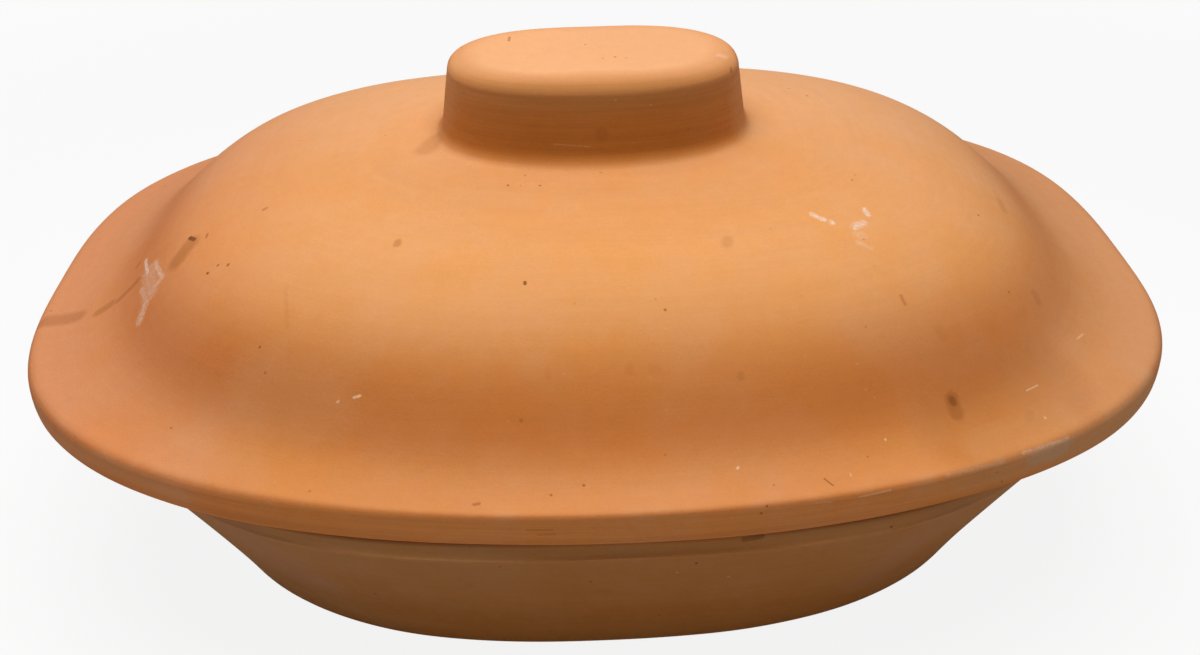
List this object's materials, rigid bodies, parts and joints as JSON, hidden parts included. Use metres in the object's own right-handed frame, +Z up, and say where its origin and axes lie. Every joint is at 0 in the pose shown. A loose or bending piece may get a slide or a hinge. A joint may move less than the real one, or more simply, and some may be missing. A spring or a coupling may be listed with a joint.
{
  "type": "clay roaster",
  "caption": "Unglazed oval clay roaster: a tapering trough with a seat rim, and a domed lid with flared end grips and a hollow knob that lifts straight off.",
  "frame": {"origin": "middle of the foot's flat underside, on the table", "axes": "+X along the length of the oval, +Y across it, +Z up through the knob"},
  "size_m": [0.345, 0.252, 0.158],
  "materials": {
    "terracotta": "matt unglazed fired clay, fine grained, with wiped streaks and small pits"
  },
  "bodies": {
    "base": {"base": "terracotta"},
    "lid": {"lid": "terracotta"}
  },
  "joints": [
    {"name": "lid_lift", "type": "slide", "parent": "base", "child": "lid", "axis": [0, 0, 1], "range_m": [0, 0.15]}
  ]
}
